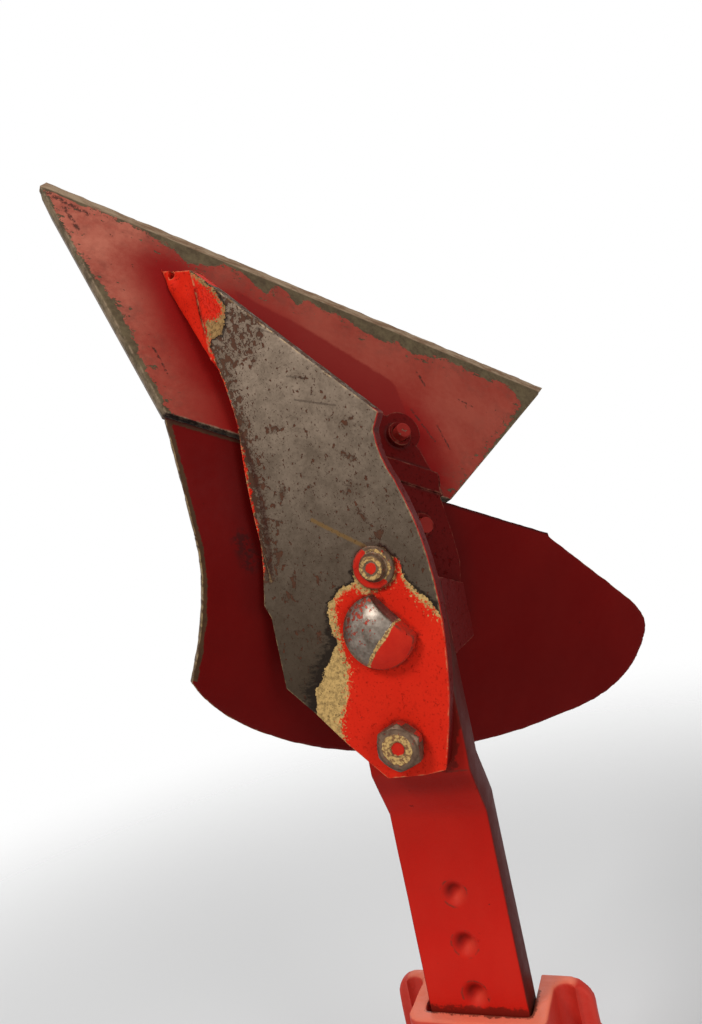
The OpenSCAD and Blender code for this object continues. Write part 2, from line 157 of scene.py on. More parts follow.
# Rust patches on the plate: x, height, half length, half width, lean of the long side in degrees
RUST_PATCHES = [
    (-42, 445, 5, 2.2, 60), (-38, 404, 6, 2.6, 0), (3, 379, 6, 2.2, -40), (0, 364, 5, 1.8, 60),
    (-3, 360, 4, 1.6, 0), (3, 346, 7, 1.8, -60), (10, 334, 6, 2.6, 40), (-42, 368, 5, 2.6, 70),
    (-53, 332, 7, 2.8, 80), (-52, 309, 4, 2.6, 0), (-50, 288, 3, 2, 0), (-24, 367, 4, 1.4, 10),
    (-46, 318, 5, 2, 70), (-38, 283, 4, 2, 60), (12, 424, 5, 1.6, -40), (7, 398, 6, 1.8, 30),
    (-58, 352, 5, 2, 80), (-48, 352, 4, 2, 20), (-30, 316, 3, 1.6, 10), (-15, 428, 4, 1.2, -15)]
# Lumps left by the casting at the end of the nose: place, radius and push
NOSE_LUMPS = [
    ((-90, -66, CLAMP_MIDDLE + 505), 5.0, (-0.6, -2.6, 0.4)),
    ((-81, -72, CLAMP_MIDDLE + 494), 6.0, (0.4, -1.6, 0)),
    ((-84, -66, CLAMP_MIDDLE + 507), 3.0, (0.3, 2.2, -0.8))]


def pick(piece):
    bpy.ops.object.select_all(action="DESELECT")
    piece.select_set(True)
    bpy.context.view_layer.objects.active = piece


def modify(piece, kind, **settings):
    """Adds a modifier and applies it."""
    pick(piece)
    bpy.ops.object.modifier_add(type=kind)
    modifier = piece.modifiers[-1]
    for key, value in settings.items():
        setattr(modifier, key, value)
    bpy.ops.object.modifier_apply(modifier=modifier.name)


def millimetres(mesh):
    points = np.zeros(len(mesh.vertices) * 3, np.float32)
    mesh.vertices.foreach_get("co", points)
    return points.reshape(-1, 3).astype(float) * 1000


def move_to(mesh, points):
    mesh.vertices.foreach_set("co", (points / 1000).astype(np.float32).ravel())
    mesh.update()


def number(piece, name, values):
    """Gives each point of a piece a number."""
    layer = piece.data.attributes.get(name) or piece.data.attributes.new(name, "FLOAT", "POINT")
    layer.data.foreach_set("value", np.asarray(values, np.float32))


def read(piece, name):
    values = np.zeros(len(piece.data.vertices), np.float32)
    piece.data.attributes[name].data.foreach_get("value", values)
    return values


def place(piece, coordinates):
    """Gives each point the place that the patterns follow."""
    layer = piece.data.attributes.new("place", "FLOAT_VECTOR", "POINT")
    layer.data.foreach_set("vector", np.asarray(coordinates, np.float32).ravel())


def place_by_stalk(piece, points):
    place(piece, points - np.array([0, STALK_FACE, CLAMP_MIDDLE]))


def fold_points(mesh):
    """Points along the outward and the inward folds of a merged mesh, in millimetres."""
    ridges, valleys = [], []
    work = bmesh.new()
    work.from_mesh(mesh)
    for edge in work.edges:
        if len(edge.link_faces) == 2:
            fold = edge.calc_face_angle_signed(0)
            if abs(fold) > math.radians(25):
                a, b = edge.verts[0].co * 1000, edge.verts[1].co * 1000
                count = max(1, int((b - a).length / 1.5))
                (ridges if fold > 0 else valleys).extend(a.lerp(b, i / count) for i in range(count + 1))
    work.free()
    return ridges, valleys


def distances(points, targets, limit):
    tree = kdtree.KDTree(len(targets))
    for i, target in enumerate(targets):
        tree.insert(target, i)
    tree.balance()
    return np.array([min(limit, tree.find(p)[2]) for p in points]) if targets else np.full(len(points), limit)


def merged_copy(node):
    """A copy of a CAD node with its doubles merged and its flat faces whole."""
    pick(frame["nodes"][node])
    bpy.ops.object.duplicate()
    piece = bpy.context.object
    bpy.ops.object.parent_clear(type="CLEAR_KEEP_TRANSFORM")
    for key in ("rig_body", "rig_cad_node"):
        if key in piece:
            del piece[key]
    piece.name = piece.data.name = node + "_worn"
    bpy.ops.object.mode_set(mode="EDIT")
    bpy.ops.mesh.select_all(action="SELECT")
    bpy.ops.mesh.remove_doubles(threshold=DOUBLES)
    bpy.ops.mesh.dissolve_limited(angle_limit=math.radians(0.5))
    bpy.ops.mesh.customdata_custom_splitnormals_clear()
    bpy.ops.object.mode_set(mode="OBJECT")
    return piece


def round_and_cut(piece, step, bevel, directions):
    """Bevels a piece's edges and cuts its faces into cells, across each direction."""
    modify(piece, "BEVEL", width=bevel / 1000, segments=2, limit_method="ANGLE",
           angle_limit=math.radians(28), use_clamp_overlap=False)
    points = millimetres(piece.data)
    bpy.ops.object.mode_set(mode="EDIT")
    for direction in directions:
        direction = Vector(direction).normalized()
        reach = points @ np.array(direction)
        for at in np.arange(reach.min() + step / 2, reach.max(), step):
            bpy.ops.mesh.select_all(action="SELECT")
            bpy.ops.mesh.bisect(plane_co=direction * (at / 1000), plane_no=direction)
    bpy.ops.object.mode_set(mode="OBJECT")


def forge(piece, step, bevel):
    """Makes a piece of even small cells and smooths its edges round."""
    modify(piece, "REMESH", mode="VOXEL", voxel_size=step / 1000)
    modify(piece, "SMOOTH", factor=0.5, iterations=round(2 * bevel / step))


def fine_copy(node, step, bevel, directions=()):
    """A copy of a CAD node with round edges and small cells: forged, or cut across the directions given."""
    piece = merged_copy(node)
    ridges, valleys = fold_points(piece.data)
    if directions:
        round_and_cut(piece, step, bevel, directions)
    else:
        forge(piece, step, bevel)
    points = millimetres(piece.data)
    number(piece, "edge", distances(points, ridges, FAR))
    number(piece, "corner", distances(points, valleys, FAR))
    piece.data.materials.clear()
    return piece


def seen_from(matrix, points):
    """Points in a piece's own frame, in millimetres."""
    inverse = np.array(matrix.inverted())
    return points @ inverse[:3, :3].T + inverse[:3, 3]


def along_table(values, table):
    return np.interp(values, [row[0] for row in table], [row[1] for row in table])


def nearness(piece, others, limit):
    """How far each point of a piece is from the other pieces, in millimetres."""
    meshes = [frame["nodes"][name].data for name in others]
    trees = [BVHTree.FromPolygons([v.co for v in mesh.vertices], [p.vertices for p in mesh.polygons])
             for mesh in meshes]
    found = np.full(len(piece.data.vertices), limit)
    for i, vertex in enumerate(piece.data.vertices):
        for tree in trees:
            hit = tree.find_nearest(vertex.co, limit / 1000)
            if hit[0] is not None:
                found[i] = min(found[i], hit[3] * 1000)
    number(piece, "near", found)


def inside(points, outline):
    """Signed distance to an outline in millimetres, above zero inside it."""
    x, y = points[:, 0], points[:, 1]
    best = np.full(len(points), 1e9)
    within = np.zeros(len(points), bool)
    for (ax, ay), (bx, by) in zip(outline, outline[1:] + outline[:1]):
        dx, dy = bx - ax, by - ay
        t = np.clip(((x - ax) * dx + (y - ay) * dy) / (dx * dx + dy * dy), 0, 1)
        best = np.minimum(best, np.hypot(x - ax - t * dx, y - ay - t * dy))
        crosses = (ay > y) != (by > y)
        if ay != by:
            within ^= crosses & (x < (bx - ax) * (y - ay) / (by - ay) + ax)
    return np.where(within, best, -best)


def unevenness(piece, name, size, depth, weight=None):
    """Takes a cast or dented skin off a piece: points only move inwards."""
    skin = bpy.data.textures.new(name, "CLOUDS")
    skin.noise_scale = size / 1000
    skin.noise_depth = 2
    if weight is not None:
        group = piece.vertex_groups.new(name=name)
        for i, value in enumerate(weight):
            group.add([i], float(value), "REPLACE")
    modify(piece, "DISPLACE", texture=skin, texture_coords="LOCAL", strength=depth / 1000, mid_level=1.0,
           vertex_group=name if weight is not None else "")
    if weight is not None:
        piece.vertex_groups.clear()


def finish_piece(piece, node, body, material):
    pick(piece)
    bpy.ops.object.shade_smooth_by_angle(angle=math.radians(40))
    piece.data.materials.append(material)
    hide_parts(node)
    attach(piece, body)
    bpy.ops.object.select_all(action="DESELECT")


def rgb(red, green, blue):
    """A colour given as a screen shows it, from 0 to 255."""
    return tuple((c / 255 / 12.92 if c <= 10 else ((c / 255 + 0.055) / 1.055) ** 2.4)
                 for c in (red, green, blue)) + (1.0,)


class Tree:
    """A node tree filled by short calls, where a value is a number, a colour or another node's output."""

    def __init__(self, tree):
        self.tree = tree

    def feed(self, socket, value):
        if isinstance(value, bpy.types.NodeSocket):
            self.tree.links.new(value, socket)
        else:
            socket.default_value = value

    def node(self, kind, values=(), **settings):
        made = self.tree.nodes.new(kind)
        for key, value in settings.items():
            setattr(made, key, value)
        for key, value in dict(values).items():
            self.feed(made.inputs[key], value)
        return made

    def use(self, name, **values):
        """Places a group in the tree; returns its outputs."""
        made = self.node("ShaderNodeGroup", node_tree=bpy.data.node_groups[name])
        for key, value in values.items():
            self.feed(made.inputs[key], value)
        return made.outputs

    def math(self, operation, a, b=0.0, clamp=False):
        return self.node("ShaderNodeMath", {0: a, 1: b}, operation=operation, use_clamp=clamp).outputs[0]

    def times(self, a, b, clamp=False):
        return self.math("MULTIPLY", a, b, clamp)

    def plus(self, a, b, clamp=False):
        return self.math("ADD", a, b, clamp)

    def minus(self, a, b):
        return self.math("SUBTRACT", a, b)

    def larger(self, a, b):
        return self.math("MAXIMUM", a, b)

    def vector(self, operation, a, b=(0, 0, 0), out=0):
        return self.node("ShaderNodeVectorMath", {0: a, 1: b}, operation=operation).outputs[out]

    def scaled(self, vector, x, y, z):
        return self.vector("MULTIPLY", vector, (x, y, z))

    def shifted(self, vector, x, y, z):
        return self.vector("ADD", vector, (x, y, z))

    def parts(self, vector):
        return self.node("ShaderNodeSeparateXYZ", {0: vector}).outputs

    def step(self, value, low, high):
        """0 below low, 1 above high, soft between; low may be above high."""
        values = {"Value": value, "From Min": low, "From Max": high}
        return self.node("ShaderNodeMapRange", values, interpolation_type="SMOOTHSTEP").outputs[0]

    def mix(self, share, a, b):
        made = self.node("ShaderNodeMix", data_type="RGBA")
        for key, value in ((0, share), (6, a), (7, b)):
            self.feed(made.inputs[key], value)
        return made.outputs[2]

    def layer(self, under, over, mask, strength):
        """Lays one colour over another where a mask is, as strong as strength says."""
        return self.mix(self.times(mask, strength), under, over)

    def noise(self, vector, size, detail=3.0, rough=0.55):
        values = {"Vector": vector, "Scale": 1.0 / size, "Detail": detail, "Roughness": rough}
        return self.node("ShaderNodeTexNoise", values).outputs[0]

    def spotty(self, vector, size, low, high, detail=4):
        """Noise with much fine detail, sharpened to a mask."""
        return self.step(self.noise(vector, size, detail, 0.7), low, high)

    def carried(self, name):
        """A number that the points of the piece carry."""
        return self.node("ShaderNodeAttribute", attribute_name=name).outputs["Fac"]

    def place(self):
        """The place that the points of the piece carry."""
        return self.node("ShaderNodeAttribute", attribute_name="place").outputs["Vector"]

    def chips(self, at, reach, size, low, high):
        """Chips along the outer edges, up to reach millimetres from them."""
        return self.times(self.step(self.carried("edge"), reach, 0.2), self.spotty(at, size, low, high))

    def scratches(self, at, rows):
        marks = 0.0
        for start, end, width in rows:
            marks = self.larger(marks, self.use("scratch", Place=at, From=start, To=end, Width=width)["Mask"])
        return marks


def group(name, takes, gives):
    """A shader group with named inputs and outputs; returns its tree, its inputs and a function that sets an output."""
    tree = bpy.data.node_groups.new(name, "ShaderNodeTree")
    for key, (kind, default) in takes.items():
        socket = tree.interface.new_socket(key, in_out="INPUT", socket_type="NodeSocket" + kind)
        if default is not None:
            socket.default_value = default
    for key, kind in gives.items():
        tree.interface.new_socket(key, in_out="OUTPUT", socket_type="NodeSocket" + kind)
    sheet = Tree(tree)
    sources = tree.nodes.new("NodeGroupInput").outputs
    results = tree.nodes.new("NodeGroupOutput").inputs
    return sheet, sources, lambda key, value: sheet.feed(results[key], value)


def build_ragged_area():
    """Ragged line: a distance in millimetres, roughened by noise of two sizes, becomes a mask above zero."""
    t, given, give = group(
        "ragged_area",
        {"Place": ("Vector", None), "Depth": ("Float", 0.0), "Rag": ("Float", 3.0), "Soft": ("Float", 0.4)},
        {"Mask": "Float", "Depth": "Float"})
    coarse = t.minus(t.noise(given["Place"], 9, 4, 0.65), 0.5)
    fine = t.minus(t.noise(given["Place"], 1.6, 3, 0.6), 0.5)
    wander = t.times(t.plus(t.times(coarse, 2.4), fine), given["Rag"])
    depth = t.plus(given["Depth"], wander)
    give("Depth", depth)
    give("Mask", t.step(depth, t.times(given["Soft"], -1.0), given["Soft"]))


def build_rust_pits():
    """Rust pits: small dark hollows whose number follows an amount from 0 to 1."""
    t, given, give = group(
        "rust_pits",
        {"Place": ("Vector", None), "Size": ("Float", 3.0), "Amount": ("Float", 0.3)},
        {"Mask": "Float", "Height": "Float"})
    spread = t.node("ShaderNodeTexNoise", {
        "Vector": given["Place"], "Scale": t.math("DIVIDE", 1.0, given["Size"]), "Detail": 4.0, "Roughness": 0.62})
    limit = t.minus(0.78, t.times(given["Amount"], 0.4))
    mask = t.step(t.minus(spread.outputs[0], limit), 0.0, 0.035)
    give("Mask", mask)
    give("Height", t.times(mask, -1.0))


def build_dusty():
    """Dust that lies on paint, thin and uneven."""
    t, given, give = group(
        "dusty",
        {"Color": ("Color", None), "Dust": ("Color", None), "Place": ("Vector", None), "Amount": ("Float", 0.3)},
        {"Color": "Color", "Mask": "Float"})
    broad = t.noise(given["Place"], 34, 3, 0.5)
    small = t.noise(given["Place"], 4, 5, 0.7)
    clouds = t.step(t.plus(broad, t.times(small, 0.5)), 0.45, 1.0)
    mask = t.times(clouds, given["Amount"], clamp=True)
    mask = t.plus(mask, t.times(given["Amount"], 0.5), clamp=True)
    give("Mask", mask)
    give("Color", t.mix(mask, given["Color"], given["Dust"]))


def build_bare_steel():
    """Bare steel: cloudy, from dark to light, with fine grain."""
    t, given, give = group(
        "bare_steel",
        {"Place": ("Vector", None), "Dark": ("Color", None), "Light": ("Color", None)},
        {"Color": "Color", "Roughness": "Float", "Height": "Float"})
    cloud = t.noise(given["Place"], 14, 5, 0.6)
    grain = t.noise(given["Place"], 0.9, 3, 0.6)
    fleck = t.noise(given["Place"], 3.2, 4, 0.7)
    tone = t.plus(t.times(cloud, 0.6), t.times(fleck, 0.5))
    give("Color", t.mix(t.step(tone, 0.32, 0.78), given["Dark"], given["Light"]))
    give("Roughness", t.plus(0.38, t.times(fleck, 0.3)))
    give("Height", t.plus(t.times(grain, 0.3), t.times(fleck, 0.7)))


def build_scoured_steel():
    """Steel scoured by the soil: streaks along the first axis, and rust that came back since."""
    t, given, give = group(
        "scoured_steel", {"Place": ("Vector", None)}, {"Color": "Color", "Roughness": "Float", "Height": "Float"})
    streak = t.noise(t.scaled(given["Place"], 0.03, 1, 0.2), 0.9, 3, 0.5)
    broad = t.noise(t.scaled(given["Place"], 0.6, 1, 0.6), 30, 5, 0.6)
    rusty = t.noise(given["Place"], 7, 6, 0.7)
    color = t.mix(streak, rgb(98, 90, 82), rgb(138, 130, 121))
    color = t.layer(color, rgb(78, 70, 62), t.step(broad, 0.62, 0.36), 0.5)
    haze = t.step(t.plus(broad, t.times(rusty, 0.8)), 0.86, 1.12)
    color = t.layer(color, rgb(88, 60, 44), haze, 0.7)
    give("Color", color)
    give("Roughness", t.plus(0.34, t.times(rusty, 0.3)))
    give("Height", t.plus(t.times(streak, 0.25), t.times(rusty, 0.5)))


def build_scratch():
    """A scratch from one point to another, its width unsteady."""
    t, given, give = group(
        "scratch",
        {"Place": ("Vector", None), "From": ("Vector", None), "To": ("Vector", None), "Width": ("Float", 0.6)},
        {"Mask": "Float"})
    run = t.vector("SUBTRACT", given["To"], given["From"])
    here = t.vector("SUBTRACT", given["Place"], given["From"])
    reached = t.vector("DOT_PRODUCT", here, run, out="Value")
    along = t.math("DIVIDE", reached, t.vector("DOT_PRODUCT", run, run, out="Value"), clamp=True)
    foot = t.node("ShaderNodeVectorMath", {0: run, "Scale": along}, operation="SCALE").outputs[0]
    gap = t.vector("LENGTH", t.vector("SUBTRACT", here, foot), out="Value")
    gap = t.plus(gap, t.times(t.minus(t.noise(given["Place"], 2.0, 3), 0.5), 1.6))
    give("Mask", t.step(gap, given["Width"], t.times(given["Width"], 0.3)))


def material(name):
    made = bpy.data.materials.new(name)
    made.use_nodes = True
    return made, Tree(made.node_tree), made.node_tree.nodes["Principled BSDF"]


def coat(sheet, shader, color, roughness, metallic, height, depth, shine=0.12):
    """Feeds a shader: colour, roughness, metal and a bump whose height is given in millimetres."""
    shader.inputs["Specular IOR Level"].default_value = shine
    for key, value in (("Base Color", color), ("Roughness", roughness), ("Metallic", metallic)):
        sheet.feed(shader.inputs[key], value)
    bump = sheet.node("ShaderNodeBump", {"Height": height, "Strength": 1.0, "Distance": depth / 1000})
    sheet.feed(shader.inputs["Normal"], bump.outputs[0])


# Colours that more than one piece has; a pair goes from dark to light
OLIVE_STEEL = rgb(66, 52, 38), rgb(104, 90, 66)
EDGE_BROWN = rgb(150, 128, 104)
CREAM = rgb(196, 160, 100)
PIT_BROWN = rgb(62, 36, 26)
BLADE_BOLT_STEEL = rgb(70, 50, 40), rgb(120, 96, 78)


def share_material():
    made, t, shader = material("share_red_paint")
    at, wear, near = t.place(), t.carried("wear"), t.carried("near")
    along, across, depth = t.parts(at)
    throw = t.step(depth, THROW_DEPTH, THROW_DEPTH + 1.2)

    # Red paint, darker and less dusty beside the frog, partly as painted shade from the frog and partly as cleaner
    # paint; dusty towards the toe
    red = t.mix(t.noise(at, 26, 4, 0.6), rgb(119, 32, 23), rgb(142, 44, 32))
    red = t.mix(t.step(near, 50, 6), red, rgb(126, 8, 6))
    tip_dust = t.plus(0.22, t.times(t.step(along, 130, 0), 0.58))
    amount = t.times(t.step(near, 2, 34), tip_dust)
    dust = t.use("dusty", Color=red, Dust=rgb(182, 104, 84), Place=at, Amount=amount)
    # Painted shadow of the plate on the share's back, as a darker patch
    plate_shadow = t.use("ragged_area", Place=at, Depth=t.carried("plate_shadow"), Rag=1.5, Soft=1.4)
    color = t.layer(dust["Color"], rgb(118, 24, 20), plate_shadow["Mask"], 0.85)
    stain = t.times(t.step(wear, -26, -1), t.spotty(at, 12, 0.44, 0.7, detail=5))
    color = t.layer(color, rgb(110, 58, 46), stain, 0.6)

    # Bare bands along the edges, with islands before them
    flat_place = t.scaled(at, 0.7, 1.0, 1.0)
    bare = t.use("ragged_area", Place=flat_place, Depth=wear, Rag=4.5, Soft=0.4)
    islands = t.plus(t.noise(t.scaled(at, 0.6, 1, 1), 5, 5, 0.7), t.times(wear, 0.009))
    bare_mask = t.larger(bare["Mask"], t.step(islands, 0.555, 0.575))
    steel = t.use("bare_steel", Place=at, Dark=OLIVE_STEEL[0], Light=OLIVE_STEEL[1])
    ground_steel = t.mix(t.spotty(t.scaled(at, 0.25, 1, 1), 3.0, 0.35, 0.65, detail=5), rgb(112, 84, 62), EDGE_BROWN)
    metal = t.mix(t.step(t.carried("ground"), -0.6, 0.6), steel["Color"], ground_steel)
    metal = t.mix(throw, metal, t.use("scoured_steel", Place=at)["Color"])
    color = t.mix(bare_mask, color, metal)
    # The share's rear edge in the joint with the moldboard is painted dark: painted shade in the gap
    color = t.mix(t.step(across, SHARE_WIDTH - 0.8, SHARE_WIDTH - 0.2), color, rgb(36, 18, 14))

    # Pits, scratches and chips
    pits = t.use("rust_pits", Place=at, Size=5.0, Amount=0.22)
    color = t.layer(color, OLIVE_STEEL[0], pits["Mask"], 0.8)
    marks = t.times(t.scratches(at, SHARE_SCRATCHES), t.spotty(at, 3.0, 0.42, 0.56))
    color = t.layer(color, rgb(58, 34, 26), marks, 0.85)
    color = t.layer(color, EDGE_BROWN, t.chips(at, 1.6, 6, 0.4, 0.6), 0.75)

    rough = t.minus(t.plus(0.62, t.times(t.noise(at, 5, 4), 0.2)), t.times(throw, 0.22))
    shiny = t.plus(t.times(bare_mask, 0.25), t.times(throw, 0.4))
    height = t.plus(t.times(bare_mask, -0.6), t.times(steel["Height"], 0.35))
    height = t.minus(height, t.times(t.larger(marks, pits["Mask"]), 0.7))
    coat(t, shader, color, rough, shiny, height, 0.35)
    return made


def board_material():
    made, t, shader = material("moldboard_red_paint")
    at = t.place()
    depth = t.parts(at)[2]
    throw = t.step(depth, THROW_DEPTH, THROW_DEPTH + 1.0)

    # Red paint on the back, darker beside the frog and the stalk as painted shade, steel on the other sides
    red = t.mix(t.noise(at, 40, 4, 0.6), rgb(84, 1, 1), rgb(102, 3, 2))
    red = t.mix(t.step(t.carried("near"), 20, 3), red, rgb(76, 1, 1))
    dust = t.use("dusty", Color=red, Dust=rgb(140, 50, 42), Place=t.scaled(at, 1, 0.5, 1), Amount=0.05)
    bare = t.use("ragged_area", Place=at, Depth=t.times(t.minus(depth, 0.8), 4.0), Rag=1.6, Soft=0.4)
    steel = t.use("bare_steel", Place=at, Dark=rgb(58, 38, 26), Light=rgb(104, 84, 60))
    metal = t.mix(throw, steel["Color"], t.use("scoured_steel", Place=at)["Color"])
    color = t.mix(bare["Mask"], dust["Color"], metal)

    # Brown band along the shin, the joint with the share painted dark as shade, bright rim elsewhere
    band = t.use("ragged_area", Place=at, Depth=t.minus(3.2, t.carried("shin")), Rag=1.4, Soft=0.4)
    color = t.mix(band["Mask"], color, t.mix(t.noise(at, 5, 4), rgb(46, 28, 18), rgb(88, 62, 42)))
    joint = t.carried("joint")
    color = t.mix(joint, color, rgb(44, 10, 8))
    rim = t.times(t.step(t.carried("edge"), 1.1, 0.3), t.step(t.noise(at, 11, 3, 0.6), 0.36, 0.52))
    color = t.layer(color, rgb(176, 148, 104), t.times(rim, t.minus(1.0, joint)), 0.8)

    # Rust spots and the smudge beside the plate
    pits = t.use("rust_pits", Place=at, Size=6.0, Amount=0.16)
    smudge = t.times(t.scratches(at, [BOARD_SMUDGE]), t.spotty(at, 5, 0.42, 0.56))
    color = t.layer(color, rgb(48, 14, 12), t.larger(pits["Mask"], smudge), 0.75)

    rough = t.minus(t.plus(0.42, t.times(t.noise(at, 6, 4), 0.25)), t.times(throw, 0.08))
    shiny = t.plus(t.times(bare["Mask"], 0.3), t.times(throw, 0.35))
    height = t.plus(t.times(bare["Mask"], -0.5), t.times(steel["Height"], 0.3))
    coat(t, shader, color, rough, shiny, height, 0.3, shine=0.05)
    return made


def frog_material():
    made, t, shader = material("frog_steel_and_paint")
    at, shade, rust = t.place(), t.carried("shade"), t.carried("rust")
    height_up = t.parts(at)[2]
    paint = t.use("ragged_area", Place=at, Depth=t.carried("paint"), Rag=2.6, Soft=0.5)
    primer = t.use("ragged_area", Place=t.shifted(at, 40, 0, 17), Depth=t.carried("primer"), Rag=3.4, Soft=0.25)

    # Steel, darker towards the bolts below as painted shade, with pits and scratches
    steel = t.use("bare_steel", Place=at, Dark=rgb(94, 80, 67), Light=rgb(134, 117, 101))
    # Painted shade: the steel grows darker from above the bolts downwards
    worn = t.layer(steel["Color"], rgb(54, 43, 32), t.step(height_up, 460, 240), 0.88)
    pits = t.use("rust_pits", Place=t.scaled(at, 1, 1, 0.75), Size=3.0, Amount=t.plus(0.42, t.times(rust, 0.36)))
    specks = t.use("rust_pits", Place=at, Size=1.3, Amount=t.plus(0.4, t.times(rust, 0.2)))
    holes = t.larger(pits["Mask"], t.times(specks["Mask"], 0.7))
    brown = t.mix(t.noise(at, 4, 3), PIT_BROWN, rgb(98, 56, 38))
    metal = t.layer(worn, brown, holes, 0.9)
    metal = t.layer(metal, rgb(74, 58, 46), t.step(rust, 0.3, 1.0), 0.4)
    metal = t.layer(metal, rgb(112, 84, 48), t.scratches(at, [PLATE_LINE]), 0.8)
    for scratch in PLATE_SCRATCHES:
        metal = t.layer(metal, rgb(58, 46, 38), t.scratches(at, [scratch]), 0.5)

    # Old primer, with red left on it, and red paint with flecks of primer near its border
    old = t.mix(t.spotty(at, 3, 0.42, 0.62), CREAM, rgb(150, 122, 76))
    old = t.mix(t.spotty(t.shifted(at, 5, 5, 5), 1.6, 0.6, 0.65), old, rgb(72, 54, 38))
    old = t.layer(old, rgb(120, 84, 52), t.step(height_up, 440, 460), 0.6)
    red = t.mix(t.noise(at, 22, 4, 0.6), rgb(200, 30, 15), rgb(216, 44, 22))
    red = t.mix(shade, red, rgb(88, 8, 6))
    flecks = t.minus(t.noise(at, 1.7, 4, 0.7), t.times(paint["Depth"], 0.024))
    flecks = t.times(t.step(flecks, 0.53, 0.58), t.step(paint["Depth"], 12, 6))
    red = t.mix(flecks, red, old)
    left = t.plus(t.noise(t.shifted(at, 3, 8, 1), 1.5, 4, 0.7), t.times(paint["Depth"], 0.035))
    color = t.mix(primer["Mask"], metal, t.mix(t.step(left, 0.48, 0.53), old, rgb(204, 62, 32)))

    # Dark line round the primer, wider below the bolts
    reach = t.mix(t.step(height_up, 300, 270), (6, 6, 6, 1), (24, 24, 24, 1))
    scorch = t.plus(t.math("DIVIDE", primer["Depth"], reach), t.noise(t.scaled(at, 0.4, 1, 1), 1.8, 4, 0.7))
    scorch = t.times(t.step(scorch, 0.1, 0.4), t.minus(1.0, primer["Mask"]))
    color = t.layer(color, rgb(34, 27, 22), scorch, 0.9)
    color = t.mix(paint["Mask"], color, red)

    # Darker in patches beside the other pieces and along the inner corners, chips and rust dots
    grime_and_shade = t.times(t.step(t.carried("near"), 3.0, 0.4), t.step(t.noise(at, 3, 4), 0.3, 0.6))
    color = t.layer(color, rgb(60, 24, 18), grime_and_shade, 0.6)
    color = t.layer(color, rgb(52, 18, 14), t.step(t.carried("corner"), 2.4, 0.3), 0.55)
    chipped = t.mix(shade, rgb(190, 158, 110), rgb(150, 90, 70))
    color = t.layer(color, chipped, t.chips(at, 1.3, 7, 0.42, 0.6), 0.6)
    dots = t.use("rust_pits", Place=t.shifted(at, 9, 3, 5), Size=4.0, Amount=0.2)
    color = t.layer(color, rgb(58, 22, 18), dots["Mask"], 0.7)

    covered = t.larger(paint["Mask"], primer["Mask"])
    shiny = t.times(t.times(t.minus(1.0, covered), 0.5), t.minus(1.0, holes))
    rough = t.plus(steel["Roughness"], t.times(holes, 0.3))
    height = t.minus(t.plus(t.times(covered, 0.5), t.times(steel["Height"], 0.3)), holes)
    coat(t, shader, color, rough, shiny, height, 0.4, shine=0.06)
    return made


def stalk_material():
    made, t, shader = material("stalk_red_paint")
    at = t.place()
    red = t.mix(t.noise(at, 36, 4, 0.6), rgb(188, 20, 10), rgb(208, 30, 18))
    dust = t.use("dusty", Color=red, Dust=rgb(150, 78, 58), Place=at, Amount=0.06)
    color = t.layer(dust["Color"], rgb(46, 10, 6), t.carried("shade"), 0.93)
    dirt = t.use("ragged_area", Place=at, Depth=t.minus(3.0, t.carried("near")), Rag=4.0, Soft=1.0)
    color = t.layer(color, rgb(66, 26, 18), dirt["Mask"], 0.7)
    # Painted highlight in the lower right of each dimple
    color = t.layer(color, rgb(236, 84, 62), t.carried("dimple_highlight"), 0.6)
    # Painted shade in the dimples, on the joggle and below the frog's foot
    color = t.layer(color, rgb(74, 14, 10), t.carried("grime_and_shade"), 0.8)
    color = t.layer(color, rgb(84, 48, 36), t.chips(at, 1.2, 8, 0.48, 0.62), 0.7)
    pits = t.use("rust_pits", Place=at, Size=4.5, Amount=0.2)
    color = t.layer(color, rgb(60, 20, 16), pits["Mask"], 0.7)
    rough = t.plus(0.36, t.times(t.noise(at, 7, 4), 0.3))
    height = t.plus(t.times(t.noise(at, 1.6, 3), 0.5), t.times(pits["Mask"], -0.8))
    coat(t, shader, color, rough, 0.0, height, 0.25, shine=0.07)
    return made


def clamp_material():
    made, t, shader = material("clamp_red_paint")
    at, top = t.place(), t.carried("top")
    red = t.mix(t.noise(at, 30, 4, 0.6), rgb(176, 26, 16), rgb(208, 42, 28))
    # Painted highlight: the top face is lighter, as lit from above
    red = t.layer(red, rgb(248, 122, 90), top, 0.95)
    amount = t.plus(0.1, t.times(top, 0.2))
    dust = t.use("dusty", Color=red, Dust=rgb(206, 132, 112), Place=at, Amount=amount)
    dirt = t.use("ragged_area", Place=at, Depth=t.minus(2.6, t.carried("near")), Rag=4.0, Soft=0.7)
    color = t.layer(dust["Color"], rgb(64, 30, 20), dirt["Mask"], 0.75)
    color = t.layer(color, rgb(96, 56, 42), t.chips(at, 1.2, 8, 0.52, 0.64), 0.6)
    rough = t.plus(0.36, t.times(t.noise(at, 7, 4), 0.3))
    coat(t, shader, color, rough, 0.0, t.noise(at, 2.4, 4), 0.3)
    return made


